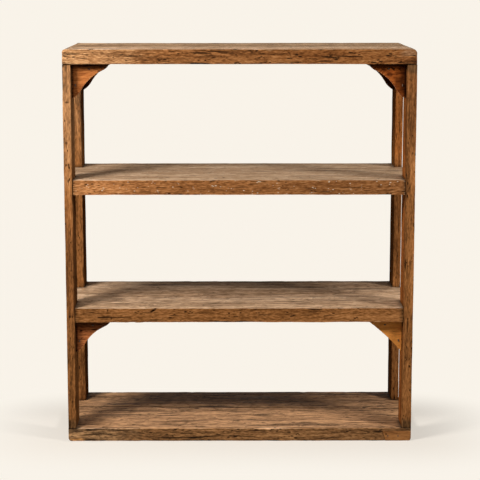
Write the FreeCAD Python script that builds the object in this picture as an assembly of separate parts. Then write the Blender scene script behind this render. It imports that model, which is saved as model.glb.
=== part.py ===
import FreeCAD, Part
import os
from math import cos, radians, sin, sqrt

os.makedirs("parts", exist_ok=True)
V = FreeCAD.Vector

# Driving dimensions, in millimetres
# The origin is the middle of the underside, X runs to the right, Y to the rear and Z up
unit_width = 1000.0
unit_depth = 400.0
bottom_thickness = 39.0
lower_shelf_underside = 354.0
lower_shelf_thickness = 43.0
upper_shelf_underside = 725.0
upper_shelf_thickness = 44.0
top_underside = 1096.0
top_thickness = 44.0

# Posts are boards set with their narrow edge to the front; the one at the front right is a little thicker, and the
# one at the rear right is thinner and stands in from the end
post_depth = 98.0
left_post_thickness = 24.0
right_post_thickness = 28.0
rear_right_post_thickness = 24.0
post_arris = 2.5

# Width of the front plank of each two-plank deck; the bottom's seam runs across from left to right
top_seam = 172.0
upper_shelf_seam = 213.0
bottom_seam_left = 236.0
bottom_seam_right = 206.0

# Rounding of the boards' arrises
top_right_end_round = 9.0
top_left_end_round = 6.0
bottom_left_end_round = 8.0
bottom_right_end_round = 3.0
front_round = 3.5
shelf_front_round = 2.5
under_round = 2.0
seam_round = 1.2

# Brackets: reach under the deck, drop down the post, thickness and distance behind the post's face
bracket_reach = 107.0
bracket_drop = 99.0
lower_bracket_reach = 103.0
lower_bracket_drop = 95.0
bracket_thickness = 24.0
bracket_setback = 28.0
tip_share = 0.82
tail_share = 0.765
tip_width_share = 0.187
tail_width_share = 0.235
cove_sag = 7.0
tip_sag = 2.2
gusset_sag = 4.0

# Repair block let into the bottom's front edge
patch_left_top = 415.0
patch_left_foot = 424.0
patch_height = 29.5
patch_depth = 15.0

# Nails, brads and dowels
nail_width = 4.0
nail_thickness = 3.0
nail_tip = 1.6
nail_head = 6.4
nail_head_thickness = 1.2
deck_nail_length = 80.0
shelf_nail_length = 70.0
bracket_nail_length = 40.0
toe_angle = radians(45.0)
nail_spread = 26.0
post_nail_out = 12.0
post_nail_down = 60.0
deck_nail_out = 50.0
deck_nail_down = 15.0
brad_size = 0.6
brad_length = 40.0
brad_places = (432.0, 462.0)
brad_height = 15.0
head_clearing = 8.0
dowel_radius = 5.0
dowel_length = 60.0
dowel_places = (-340.0, 0.0, 340.0)

# Places worked out from the driving dimensions
left_end = -unit_width / 2
right_end = unit_width / 2
front_face = -unit_depth / 2
rear_face = unit_depth / 2
left_post_inside = left_end + left_post_thickness
right_post_inside = right_end - right_post_thickness
front_post_back = front_face + post_depth
rear_post_front = rear_face - post_depth
lower_shelf_top = lower_shelf_underside + lower_shelf_thickness
upper_shelf_top = upper_shelf_underside + upper_shelf_thickness
unit_height = top_underside + top_thickness
spare = 5.0


def plan_point(x, y):
    return V(x, y, 0)


def front_point(x, z):
    return V(x, 0, z)


def end_point(y, z):
    return V(0, y, z)


def arc_by_sag(start, end, sag):
    """An arc in the XZ plane that bulges by sag towards the left of the way from start to end."""
    chord = end - start
    side = V(-chord.z, 0, chord.x).normalize()
    middle = (start + end) * 0.5 + side * sag
    return Part.Arc(start, middle, end).toShape()


def rounded_face(low, high, radii, point):
    """A rectangle with one radius per corner: low-low, high-low, high-high and low-high."""
    corners = [(low[0], low[1]), (high[0], low[1]), (high[0], high[1]), (low[0], high[1])]
    travel = [(1, 0), (0, 1), (-1, 0), (0, -1)]
    edges = []
    ends = []
    for i, ((a, b), radius) in enumerate(zip(corners, radii)):
        before = travel[i - 1]
        after = travel[i]
        start = point(a - before[0] * radius, b - before[1] * radius)
        end = point(a + after[0] * radius, b + after[1] * radius)
        inset = radius * (1 - 1 / sqrt(2))
        middle = point(a + inset * (after[0] - before[0]), b + inset * (after[1] - before[1]))
        if radius > 0:
            edges.append(Part.Arc(start, middle, end).toShape())
        ends.append((start, end))
    for i in range(4):
        edges.append(Part.LineSegment(ends[i][1], ends[(i + 1) % 4][0]).toShape())
    return Part.Face(Part.Wire(Part.__sortEdges__(edges)))


def plan_prism(points):
    """The outline seen from above, taken through the whole height of the unit."""
    corners = [plan_point(x, y) for x, y in points]
    face = Part.Face(Part.makePolygon(corners + corners[:1]))
    face.translate(V(0, 0, -spare))
    return face.extrude(V(0, 0, unit_height + 2 * spare))


def front_prism(underside, top, radii):
    """The outline seen from the front, taken through the whole depth of the unit."""
    face = rounded_face((left_end, underside), (right_end, top), radii, front_point)
    face.translate(V(0, front_face - spare, 0))
    return face.extrude(V(0, unit_depth + 2 * spare, 0))


def end_prism(front, back, underside, top, radii):
    """The section seen from the end, taken through the whole width of the unit."""
    face = rounded_face((front, underside), (back, top), radii, end_point)
    face.translate(V(left_end - spare, 0, 0))
    return face.extrude(V(unit_width + 2 * spare, 0, 0))


def board(plan, underside, top, end_radii, section, section_radii):
    """A board is the space that its plan, its front outline and its section share."""
    front = front_prism(underside, top, end_radii)
    ends = end_prism(section[0], section[1], underside, top, section_radii)
    return plan_prism(plan).common(front).common(ends)


# Decks
def top_planks():
    ends = (seam_round, seam_round, top_right_end_round, top_left_end_round)
    seam = front_face + top_seam
    planks = {}
    for name, low, high, front_top, rear_top in (
        ("top_front_plank", front_face, seam, front_round, seam_round),
        ("top_rear_plank", seam, rear_face, seam_round, front_round),
    ):
        plan = [(left_end, low), (right_end, low), (right_end, high), (left_end, high)]
        section = (under_round, under_round, rear_top, front_top)
        planks[name] = board(plan, top_underside, unit_height, ends, (low, high), section)
    return planks


def shelf_front_edge():
    """The front of a shelf's plan: it runs between the front posts and is notched round them."""
    return [
        (left_end, front_post_back),
        (left_post_inside, front_post_back),
        (left_post_inside, front_face),
        (right_post_inside, front_face),
        (right_post_inside, front_post_back),
        (right_end, front_post_back),
    ]


def shelf_rear_edge():
    """The same at the rear posts, from right to left."""
    return [
        (right_end, rear_post_front),
        (right_post_inside, rear_post_front),
        (right_post_inside, rear_face),
        (left_post_inside, rear_face),
        (left_post_inside, rear_post_front),
        (left_end, rear_post_front),
    ]


def upper_shelf_planks():
    seam = front_face + upper_shelf_seam
    ends = (seam_round,) * 4
    heights = (upper_shelf_underside, upper_shelf_top)
    front_plan = shelf_front_edge() + [(right_end, seam), (left_end, seam)]
    rear_plan = shelf_rear_edge() + [(left_end, seam), (right_end, seam)]
    front_section = (under_round, seam_round, seam_round, shelf_front_round)
    rear_section = (seam_round, under_round, shelf_front_round, seam_round)
    return {
        "upper_shelf_front_plank": board(front_plan, *heights, ends, (front_face, seam), front_section),
        "upper_shelf_rear_plank": board(rear_plan, *heights, ends, (seam, rear_face), rear_section),
    }


def lower_shelf_board():
    plan = shelf_front_edge() + shelf_rear_edge()
    ends = (seam_round,) * 4
    section = (under_round, under_round, shelf_front_round, shelf_front_round)
    heights = (lower_shelf_underside, lower_shelf_top)
    return {"lower_shelf_board": board(plan, *heights, ends, (front_face, rear_face), section)}


def patch_prism():
    """The repair block: its left end slopes, and it is flush with the plank's front, end and underside."""
    outline = [
        front_point(patch_left_foot, 0),
        front_point(right_end, 0),
        front_point(right_end, patch_height),
        front_point(patch_left_top, patch_height),
    ]
    face = Part.Face(Part.makePolygon(outline + outline[:1]))
    face.translate(V(0, front_face, 0))
    return face.extrude(V(0, patch_depth, 0))


def bottom_planks():
    ends = (bottom_left_end_round, bottom_right_end_round, seam_round, seam_round)
    seam_left = front_face + bottom_seam_left
    seam_right = front_face + bottom_seam_right
    seam = [(left_end, seam_left), (right_end, seam_right)]
    front_plan = [(left_end, front_face), (right_end, front_face)] + seam[::-1]
    rear_plan = seam + [(right_end, rear_face), (left_end, rear_face)]
    section = (under_round, under_round, front_round, front_round)
    whole = (front_face, rear_face)
    front = board(front_plan, 0, bottom_thickness, ends, whole, section)
    rear = board(rear_plan, 0, bottom_thickness, ends, whole, section)
    return {
        "bottom_front_plank": front.cut(patch_prism()),
        "bottom_rear_plank": rear,
        "bottom_edge_patch": front.common(patch_prism()),
    }


# Posts and brackets
sides = {"left": (left_end, left_post_inside, 1), "right": (right_end, right_post_inside, -1)}
rows = {"front": (front_face, 1), "rear": (rear_face, -1)}


def post_outside(row, side):
    """Where a post's outer broad face is."""
    if (row, side) == ("rear", "right"):
        return right_post_inside + rear_right_post_thickness
    return sides[side][0]


def posts():
    """Each post stands on the bottom and carries the top, with its broad faces to the sides."""
    made = {}
    for row, (face, inward) in rows.items():
        for side, (_, inside, _) in sides.items():
            outside = post_outside(row, side)
            low = (min(outside, inside), min(face, face + inward * post_depth))
            high = (max(outside, inside), max(face, face + inward * post_depth))
            section = rounded_face(low, high, (post_arris,) * 4, plan_point)
            section.translate(V(0, 0, bottom_thickness))
            made[f"{row}_{side}_post"] = section.extrude(V(0, 0, top_underside - bottom_thickness))
    return made


def bracket_corner(side, deck):
    """Where a bracket meets both its post and its deck, and a way to reach points out and down from there."""
    _, inside, outward = sides[side]
    return lambda out, down: front_point(inside + outward * out, deck - down)


def ogee_curve(at, outward, reach, drop):
    """Rounded tips at the deck and at the post, with a cove between them."""
    tip = at(reach, 0)
    tip_foot = at(reach * tip_share, drop * tip_width_share)
    tail_top = at(reach * tail_width_share, drop * tail_share)
    tail = at(0, drop)
    return [
        arc_by_sag(tip, tip_foot, tip_sag * outward),
        arc_by_sag(tip_foot, tail_top, -cove_sag * outward),
        arc_by_sag(tail_top, tail, tip_sag * outward),
    ]


def bracket(row, side, deck, reach, drop, plain=False):
    face, inward = rows[row]
    outward = sides[side][2]
    at = bracket_corner(side, deck)
    corner = at(0, 0)
    if plain:
        curve = [arc_by_sag(at(reach, 0), at(0, drop), -gusset_sag * outward)]
    else:
        curve = ogee_curve(at, outward, reach, drop)
    straight = [
        Part.LineSegment(at(0, drop), corner).toShape(),
        Part.LineSegment(corner, at(reach, 0)).toShape(),
    ]
    outline = Part.Face(Part.Wire(Part.__sortEdges__(curve + straight)))
    outline.translate(V(0, face + inward * bracket_setback, 0))
    return outline.extrude(V(0, inward * bracket_thickness, 0))


def brackets():
    made = {}
    for row in rows:
        for side in sides:
            made[f"top_{row}_{side}_bracket"] = bracket(row, side, top_underside, bracket_reach, bracket_drop)
            plain = (row, side) == ("front", "right")
            kind = "gusset" if plain else "bracket"
            made[f"lower_{row}_{side}_{kind}"] = bracket(
                row, side, lower_shelf_underside, lower_bracket_reach, lower_bracket_drop, plain
            )
    return made


# Fasteners
deck_grain = V(1, 0, 0)
post_grain = V(0, 0, 1)


def nail(length, size, above=0.0):
    """A cut nail along Z, tapered in X, with its head's face at the origin or a clearing above the head."""
    head = size * nail_head
    thickness = size * nail_thickness
    neck = size * nail_width / 2
    tip = size * nail_tip / 2
    profile = [
        V(-neck, -thickness / 2, -nail_head_thickness),
        V(neck, -thickness / 2, -nail_head_thickness),
        V(tip, -thickness / 2, -length),
        V(-tip, -thickness / 2, -length),
    ]
    shank = Part.Face(Part.makePolygon(profile + profile[:1])).extrude(V(0, thickness, 0))
    corner = V(-head / 2, -head / 2, -nail_head_thickness)
    return Part.makeBox(head, head, nail_head_thickness + above, corner).fuse(shank)


def drive(start, direction, grain, length, size=1.0):
    """A nail driven from start along direction, its taper along the grain, and the space that it needs."""
    place = FreeCAD.Placement(start, FreeCAD.Rotation(grain, V(0, 0, 0), -direction, "ZXY"))
    made = nail(length, size)
    space = nail(length, size, head_clearing)
    made.Placement = place
    space.Placement = place
    return made, space


def post_centres():
    """The middle of each post's section."""
    for row, (face, inward) in rows.items():
        for side, (_, inside, _) in sides.items():
            yield (post_outside(row, side) + inside) / 2, face + inward * post_depth / 2


def deck_nails(level, direction):
    """Two nails through a deck into the end of each post."""
    return [
        drive(V(x, y + offset, level), V(0, 0, direction), deck_grain, deck_nail_length)
        for x, y in post_centres()
        for offset in (-nail_spread, nail_spread)
    ]


def shelf_nails(underside, top):
    """Two nails through the broad face of each post into the shelf's notch."""
    made = []
    for row, (face, inward) in rows.items():
        for side, (_, _, outward) in sides.items():
            for offset in (-nail_spread, nail_spread):
                y = face + inward * post_depth / 2 + offset
                start = V(post_outside(row, side), y, (underside + top) / 2)
                made.append(drive(start, V(outward, 0, 0), post_grain, shelf_nail_length))
    return made


def bracket_nails(deck):
    """Two slanting nails through the face of each bracket, one into the post and one up into the deck."""
    made = []
    for face, inward in rows.values():
        for side, (_, _, outward) in sides.items():
            at = bracket_corner(side, deck)
            depth = V(0, face + inward * bracket_setback, 0)
            into_post = V(-outward * sin(toe_angle), inward * cos(toe_angle), 0)
            into_deck = V(0, inward * cos(toe_angle), sin(toe_angle))
            post_nail = at(post_nail_out, post_nail_down) + depth
            deck_nail = at(deck_nail_out, deck_nail_down) + depth
            made.append(drive(post_nail, into_post, post_grain, bracket_nail_length))
            made.append(drive(deck_nail, into_deck, deck_grain, bracket_nail_length))
    return made


def patch_brads():
    return [
        drive(V(x, front_face, brad_height), V(0, 1, 0), deck_grain, brad_length, brad_size)
        for x in brad_places
    ]


def seam_dowels(middle, seam_at):
    """Dowels across a seam, half in each plank."""
    return [
        Part.makeCylinder(dowel_radius, dowel_length, V(x, seam_at(x) - dowel_length / 2, middle), V(0, 1, 0))
        for x in dowel_places
    ]


def bottom_seam(x):
    share = (x - left_end) / unit_width
    return front_face + bottom_seam_left + share * (bottom_seam_right - bottom_seam_left)


nail_groups = {
    "top_nails": deck_nails(unit_height, -1),
    "upper_shelf_nails": shelf_nails(upper_shelf_underside, upper_shelf_top),
    "lower_shelf_nails": shelf_nails(lower_shelf_underside, lower_shelf_top),
    "bottom_nails": deck_nails(0, 1),
    "top_bracket_nails": bracket_nails(top_underside),
    "lower_bracket_nails": bracket_nails(lower_shelf_underside),
    "patch_brads": patch_brads(),
}
dowel_groups = {
    "top_dowels": seam_dowels(top_underside + top_thickness / 2, lambda x: front_face + top_seam),
    "upper_shelf_dowels": seam_dowels(
        upper_shelf_underside + upper_shelf_thickness / 2, lambda x: front_face + upper_shelf_seam
    ),
    "bottom_dowels": seam_dowels(bottom_thickness / 2, bottom_seam),
}
wood = {
    **top_planks(),
    **upper_shelf_planks(),
    **lower_shelf_board(),
    **bottom_planks(),
    **posts(),
    **brackets(),
}

# Every fastener gets its own hole in the wood that it goes through
spaces = [space for group in nail_groups.values() for _, space in group]
spaces += [dowel for group in dowel_groups.values() for dowel in group]
for name, shape in wood.items():
    near = [space for space in spaces if space.BoundBox.intersect(shape.BoundBox)]
    bored = shape.cut(near) if near else shape
    if len(bored.Solids) != 1 or not bored.isValid():
        raise ValueError(f"{name} is not one sound solid")
    bored.Solids[0].exportStep(f"parts/{name}.step")

for name, group in nail_groups.items():
    Part.makeCompound([made for made, _ in group]).exportStep(f"parts/{name}.step")
for name, group in dowel_groups.items():
    Part.makeCompound(group).exportStep(f"parts/{name}.step")
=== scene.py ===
from math import asin, pi

import bmesh
import bpy
import numpy as np
from mathutils import Matrix, Vector, noise


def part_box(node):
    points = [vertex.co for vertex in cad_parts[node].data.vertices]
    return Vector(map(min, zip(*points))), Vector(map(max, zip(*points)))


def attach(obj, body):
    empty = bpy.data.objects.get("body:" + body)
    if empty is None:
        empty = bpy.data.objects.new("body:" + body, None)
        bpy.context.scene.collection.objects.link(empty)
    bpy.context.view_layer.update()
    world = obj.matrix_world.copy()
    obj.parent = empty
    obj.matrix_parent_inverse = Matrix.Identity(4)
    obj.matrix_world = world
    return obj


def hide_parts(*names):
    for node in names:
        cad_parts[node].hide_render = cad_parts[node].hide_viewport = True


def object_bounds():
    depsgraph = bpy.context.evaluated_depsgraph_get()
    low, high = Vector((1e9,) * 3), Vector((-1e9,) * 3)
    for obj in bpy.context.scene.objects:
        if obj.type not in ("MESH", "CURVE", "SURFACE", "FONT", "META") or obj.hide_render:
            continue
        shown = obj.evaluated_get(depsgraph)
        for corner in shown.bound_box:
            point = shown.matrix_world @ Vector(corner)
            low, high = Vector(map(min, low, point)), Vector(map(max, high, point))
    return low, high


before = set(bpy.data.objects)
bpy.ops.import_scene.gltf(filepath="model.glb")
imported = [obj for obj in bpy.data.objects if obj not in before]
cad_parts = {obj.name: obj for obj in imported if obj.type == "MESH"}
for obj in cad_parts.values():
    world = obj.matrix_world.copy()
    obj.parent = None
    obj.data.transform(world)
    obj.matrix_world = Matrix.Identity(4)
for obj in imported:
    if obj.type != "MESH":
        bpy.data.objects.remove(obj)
cad_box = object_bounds()

MM = 0.001
X, Y, Z = range(3)
AXES = (Vector((1, 0, 0)), Vector((0, 1, 0)), Vector((0, 0, 1)))
SIDES = {"left": (X, 0), "right": (X, 1), "front": (Y, 0), "rear": (Y, 1), "under": (Z, 0), "top": (Z, 1)}

# Places of the posts, which the decks are fitted round
post_names = ("front_left_post", "front_right_post", "rear_left_post", "rear_right_post")
post_boxes = {name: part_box(name) for name in post_names}
left_inside = post_boxes["front_left_post"][1].x
right_inside = post_boxes["front_right_post"][0].x
front_post_back = post_boxes["front_left_post"][1].y
rear_post_front = post_boxes["rear_left_post"][0].y
post_foot = post_boxes["front_left_post"][0].z
post_head = post_boxes["front_left_post"][1].z

# Brackets are sawn to an ogee: shares of reach and drop, and how far each curve bulges
tip_share = 0.82
tail_share = 0.765
tip_width_share = 0.187
tail_width_share = 0.235
tip_sag = 2.2 * MM
cove_sag = 7.0 * MM
gusset_sag = 4.0 * MM

# The slanted seam of the bottom and the slanted end of its repair block
bottom_seam_left = 36 * MM
bottom_seam_right = 6 * MM
patch_slant = 9 * MM


# Working on one piece: what counts as a straight or equally long edge, and loops in mm from an arris
straight_share = 0.99
alike_share = 0.93
most_cuts = 100
crisp_insets = (0.9, 2.2, 4.2)


def only(piece):
    bpy.ops.object.select_all(action="DESELECT")
    piece.select_set(True)
    bpy.context.view_layer.objects.active = piece


def block(name, low, high):
    """A sawn block at its size and place, with its place in its mesh."""
    bpy.ops.object.select_all(action="DESELECT")
    bpy.ops.mesh.primitive_cube_add(size=1, location=(low + high) / 2, scale=high - low)
    piece = bpy.context.object
    piece.name = name
    piece.data.name = name
    bpy.ops.object.transform_apply(location=True, rotation=True, scale=True)
    return piece


def open_for_editing(piece, mode="EDGE"):
    only(piece)
    bpy.ops.object.mode_set(mode="EDIT")
    bpy.ops.mesh.select_mode(type=mode)


def close_editing():
    bpy.ops.object.mode_set(mode="OBJECT")


def slice_at(axis, places):
    """Cuts a loop through the whole piece at each place along an axis."""
    for place in places:
        bpy.ops.mesh.select_all(action="SELECT")
        bpy.ops.mesh.bisect(plane_co=AXES[axis] * place, plane_no=AXES[axis])


def select_edges(piece, wanted):
    """In edit mode, selects the edges that pass a test."""
    mesh = bmesh.from_edit_mesh(piece.data)
    for part in (mesh.faces, mesh.edges, mesh.verts):
        for item in part:
            item.select = False
    for edge in mesh.edges:
        edge.select = wanted(edge)
    mesh.select_flush_mode()
    bmesh.update_edit_mesh(piece.data)


def divide_long_edges(piece, steps):
    """Divides what is still longer than a step, in mm along X, Y and Z, one length of edge at a time."""
    for axis in (X, Y, Z):

        def run(edge):
            length = edge.calc_length()
            reach = abs((edge.verts[1].co - edge.verts[0].co)[axis])
            return length if reach > straight_share * length else 0.0

        while True:
            mesh = bmesh.from_edit_mesh(piece.data)
            longest = max(run(edge) for edge in mesh.edges)
            cuts = round(longest / (steps[axis] * MM)) - 1
            if cuts < 1:
                break
            select_edges(piece, lambda edge: run(edge) > alike_share * longest)
            bpy.ops.mesh.subdivide(number_cuts=min(cuts, most_cuts))


def near_edge_places(low, high, insets=crisp_insets):
    """Places of the loops that keep a block's arrises crisp."""
    for inset in insets:
        yield low + inset * MM
        yield high - inset * MM


def cut_away(piece, cutter):
    """Takes the space of another piece out of this one, and removes that other piece."""
    only(piece)
    cut = piece.modifiers.new("cut", "BOOLEAN")
    cut.operation = "DIFFERENCE"
    cut.solver = "EXACT"
    cut.object = cutter
    bpy.ops.object.modifier_apply(modifier=cut.name)
    spent = cutter.data
    bpy.data.objects.remove(cutter)
    bpy.data.meshes.remove(spent)


# Wear: an arris's waves and chips along its length, then furrows, dents and shading
slack = 0.05 * MM
broad_arris = 3.5 * MM
plain_reach = 1.5
chip_reach = 2.5
wear_waves = 16
wear_layer = 0.5
wear_share = 0.45
chip_waves = 55
chip_layer = 7.5
chip_start = 0.3
chip_share = 4.0
furrow_shift = (0.37, 0.53, 0.71)
dent_shade = 1.6
smooth_angle = 0.75


def coordinates(piece):
    flat = np.empty(len(piece.data.vertices) * 3)
    piece.data.vertices.foreach_get("co", flat)
    return flat.reshape(-1, 3)


def set_coordinates(piece, places):
    piece.data.vertices.foreach_set("co", places.ravel())
    piece.data.update()


def keep_mask(piece, name, values):
    """Stores a value per point, for the finish to read."""
    layer = piece.data.attributes.get(name) or piece.data.attributes.new(name, "FLOAT", "POINT")
    layer.data.foreach_set("value", np.asarray(values, dtype=np.float32))


def nearness(distance, reach):
    """1 at no distance, falling to 0 at reach."""
    return np.clip(1 - distance / reach, 0, 1)


def arris_nearness(places, low, high, reach):
    """1 on the arrises of a box and 0 further than reach from them."""
    distance = np.minimum(np.abs(places - np.array(low)), np.abs(np.array(high) - places))
    return nearness(np.sort(distance, axis=1)[:, 1], reach)


def wear_arris(piece, low, high, name, radius, seed, chips=1.0):
    """Rounds one arris of a box unevenly along its length, with a chip here and there."""
    (axis_a, side_a), (axis_b, side_b) = (SIDES[word] for word in name.split())
    along = X + Y + Z - axis_a - axis_b
    places = coordinates(piece)
    corners = (low, high)
    sign_a = 1 - 2 * side_a
    sign_b = 1 - 2 * side_b
    depth_a = (places[:, axis_a] - corners[side_a][axis_a]) * sign_a
    depth_b = (places[:, axis_b] - corners[side_b][axis_b]) * sign_b
    evenness = min(1.0, broad_arris / radius)
    reach = radius * (plain_reach + chip_reach * chips * evenness) + slack
    inside = (places[:, along] > low[along] - slack) & (places[:, along] < high[along] + slack)
    near = (depth_a > -slack) & (depth_b > -slack) & (depth_a < reach) & (depth_b < reach) & inside
    for i in np.nonzero(near)[0]:
        run = places[i, along]
        wear = noise.noise(Vector((run * wear_waves, seed, wear_layer)))
        chip = max(0.0, noise.noise(Vector((run * chip_waves, seed, chip_layer))) - chip_start)
        r = radius * (1 + evenness * (wear_share * wear + chip_share * chips * chip))
        in_a = r - depth_a[i]
        in_b = r - depth_b[i]
        if in_a <= 0 or in_b <= 0:
            continue
        out = (in_a * in_a + in_b * in_b) ** 0.5
        if out > r:
            places[i, axis_a] += sign_a * in_a * (1 - r / out)
            places[i, axis_b] += sign_b * in_b * (1 - r / out)
    set_coordinates(piece, places)


def weather(piece, along, length, width, depth, seed, where=None):
    """Sinks the surface by up to depth, in furrows along an axis. Length, width and depth are in mm."""
    texture = bpy.data.textures.new("furrows", "CLOUDS")
    texture.noise_scale = 1.0
    texture.noise_depth = 3
    texture.contrast = 1.8
    guide = bpy.data.objects.new("grain_guide", None)
    bpy.context.collection.objects.link(guide)
    guide.location = [seed * shift for shift in furrow_shift]
    guide.scale = [(length if axis == along else width) * MM for axis in (X, Y, Z)]
    bpy.context.view_layer.update()
    only(piece)
    before = coordinates(piece)
    furrows = piece.modifiers.new("furrows", "DISPLACE")
    furrows.texture = texture
    furrows.texture_coords = "OBJECT"
    furrows.texture_coords_object = guide
    furrows.strength = depth * MM
    furrows.mid_level = 1.0
    bpy.ops.object.modifier_apply(modifier=furrows.name)
    sunk = coordinates(piece)
    if where is not None:
        sunk = before + (sunk - before) * where[:, None]
    set_coordinates(piece, np.clip(sunk, before.min(axis=0), before.max(axis=0)))
    bpy.data.objects.remove(guide)
    bpy.data.textures.remove(texture)


def knock(piece, centre, reach, push):
    """Dents the surface round a centre, most at the centre, and darkens it there. All in mm."""
    places = coordinates(piece)
    offset = (places / MM - np.array(centre)) / np.array(reach)
    share = nearness(np.sqrt((offset**2).sum(axis=1)), 1.0)
    set_coordinates(piece, places + share[:, None] * np.array(push) * MM)
    grime_and_shade = np.empty(len(places), dtype=np.float32)
    piece.data.attributes["grime_and_shade"].data.foreach_get("value", grime_and_shade)
    keep_mask(piece, "grime_and_shade", np.maximum(grime_and_shade, np.clip(share * dent_shade, 0, 1)))


def finish_piece(piece, node, material):
    """Keeps the piece in the unit's box, shades it, gives it its finish and lets it stand for its node."""
    set_coordinates(piece, np.clip(coordinates(piece), np.array(cad_box[0]), np.array(cad_box[1])))
    only(piece)
    bpy.ops.object.shade_smooth_by_angle(angle=smooth_angle)
    piece.data.materials.clear()
    piece.data.materials.append(material)
    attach(piece, "root")
    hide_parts(node)


# Shader nodes
def add(tree, kind, inputs=None, **settings):
    """One shader node with its settings, its inputs being values or other nodes' outputs."""
    made = tree.nodes.new(kind)
    for name, value in settings.items():
        setattr(made, name, value)
    for name, value in (inputs or {}).items():
        if isinstance(value, bpy.types.NodeSocket):
            tree.links.new(value, made.inputs[name])
        else:
            made.inputs[name].default_value = value
    return made


def math(tree, operation, a, b=0.0):
    return add(tree, "ShaderNodeMath", {0: a, 1: b}, operation=operation).outputs[0]


def vector_math(tree, operation, a, b=(0, 0, 0)):
    return add(tree, "ShaderNodeVectorMath", {0: a, 1: b}, operation=operation).outputs["Vector"]


def length_of(tree, vector):
    return add(tree, "ShaderNodeVectorMath", {0: vector}, operation="LENGTH").outputs["Value"]


def off_middle(tree, noise_value):
    """How far noise around 0.5 is from its middle."""
    return math(tree, "SUBTRACT", noise_value, 0.5)


def remap(tree, value, low, high, to_low=0.0, to_high=1.0):
    return add(
        tree,
        "ShaderNodeMapRange",
        {"Value": value, "From Min": low, "From Max": high, "To Min": to_low, "To Max": to_high},
        interpolation_type="SMOOTHSTEP",
    ).outputs["Result"]


# Camera, light and floor
backdrop = (0.947, 0.897, 0.816, 1)
warm_light = (1.0, 0.955, 0.89)


def stand_camera():
    """A long lens from a little above the top, aimed slightly down, as in the photograph."""
    made = bpy.data.cameras.new("camera")
    made.sensor_width = 36.0
    made.lens = 114.86
    made.shift_y = -0.05
    camera = bpy.data.objects.new("camera", made)
    bpy.context.collection.objects.link(camera)
    camera.location = (-0.0323, -4.515, 1.345)
    aimed_down = 0.1562
    turned_right = 0.0076
    camera.rotation_euler = (pi / 2 - aimed_down, 0, -turned_right)
    bpy.context.scene.camera = camera


def softbox(name, place, aim, size, watts):
    """A rectangular lamp that faces a point and isn't seen itself."""
    made = bpy.data.lights.new(name, "AREA")
    made.shape = "RECTANGLE"
    made.size, made.size_y = size
    made.energy = watts
    made.color = warm_light
    lamp = bpy.data.objects.new(name, made)
    bpy.context.collection.objects.link(lamp)
    lamp.location = place
    lamp.rotation_euler = (Vector(aim) - Vector(place)).to_track_quat("-Z", "Y").to_euler()
    lamp.visible_camera = False


def shown_rays(tree):
    """1 for what the camera sees straight, in gloss or through glass."""
    path = add(tree, "ShaderNodeLightPath").outputs
    straight = math(tree, "MAXIMUM", path["Is Camera Ray"], path["Is Glossy Ray"])
    return math(tree, "MAXIMUM", straight, path["Is Transmission Ray"])


def either(tree, share, first, second):
    return add(tree, "ShaderNodeMixShader", {0: share, 1: first.outputs[0], 2: second.outputs[0]})


def light_room():
    """Two softboxes in front, the left one nearer and stronger, a weak low one behind, and some fill."""
    world = bpy.data.worlds.new("studio")
    bpy.context.scene.world = world
    world.use_nodes = True
    tree = world.node_tree
    tree.nodes.clear()
    fill = add(tree, "ShaderNodeBackground", {"Color": (1.0, 0.96, 0.9, 1), "Strength": 0.05})
    seen = add(tree, "ShaderNodeBackground", {"Color": backdrop, "Strength": 1.0})
    both = either(tree, shown_rays(tree), fill, seen)
    add(tree, "ShaderNodeOutputWorld", {"Surface": both.outputs[0]})
    middle = (0, 0, 0.55)
    low_middle = (0, 0, 0.3)
    softbox("softbox_left", place=(-1.38, -1.33, 1.97), aim=middle, size=(0.6, 0.5), watts=54)
    softbox("softbox_right", place=(2.05, -1.4, 1.93), aim=middle, size=(0.45, 0.5), watts=43)
    softbox("softbox_behind", place=(-0.3, 2.4, 0.3), aim=low_middle, size=(2.4, 0.5), watts=12)


def lay_floor():
    """Pale paper that keeps the shadow near the unit, painted a little darker there than the backdrop as a
    contact shade, and runs into the backdrop further off.
    """
    bpy.ops.object.select_all(action="DESELECT")
    bpy.ops.mesh.primitive_plane_add(size=60)
    floor = bpy.context.object
    floor.name = "floor"
    paper = bpy.data.materials.new("backdrop_paper")
    paper.use_nodes = True
    tree = paper.node_tree
    tree.nodes.clear()
    lit = add(tree, "ShaderNodeBsdfDiffuse", {"Color": (0.36, 0.34, 0.31, 1)})
    half_lit = add(tree, "ShaderNodeBsdfDiffuse", {"Color": (0.44, 0.42, 0.395, 1)})
    # Painted shade: near the unit the glow is under half the backdrop, so the paper there stays a little
    # darker than the backdrop even where lit
    glow = add(tree, "ShaderNodeEmission", {"Color": backdrop, "Strength": 0.48})
    near = add(tree, "ShaderNodeAddShader", {0: half_lit.outputs[0], 1: glow.outputs[0]})
    far = add(tree, "ShaderNodeEmission", {"Color": backdrop, "Strength": 1.0})
    shaded_half = (0.5, 0.12, 1)
    shaded_back = (0, 0.08, 0)
    narrowed_back = (1, 1.1, 1)
    fade_reach = 0.35
    place = add(tree, "ShaderNodeTexCoord").outputs["Object"]
    place = vector_math(tree, "ABSOLUTE", vector_math(tree, "ADD", place, shaded_back))
    outside = vector_math(tree, "MAXIMUM", vector_math(tree, "SUBTRACT", place, shaded_half))
    distance = length_of(tree, vector_math(tree, "MULTIPLY", outside, narrowed_back))
    fade = remap(tree, distance, 0.0, fade_reach)
    both = either(tree, shown_rays(tree), lit, either(tree, fade, near, far))
    add(tree, "ShaderNodeOutputMaterial", {"Surface": both.outputs[0]})
    floor.data.materials.append(paper)


bpy.context.scene.view_settings.view_transform = "Standard"
stand_camera()
light_room()
lay_floor()


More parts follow.
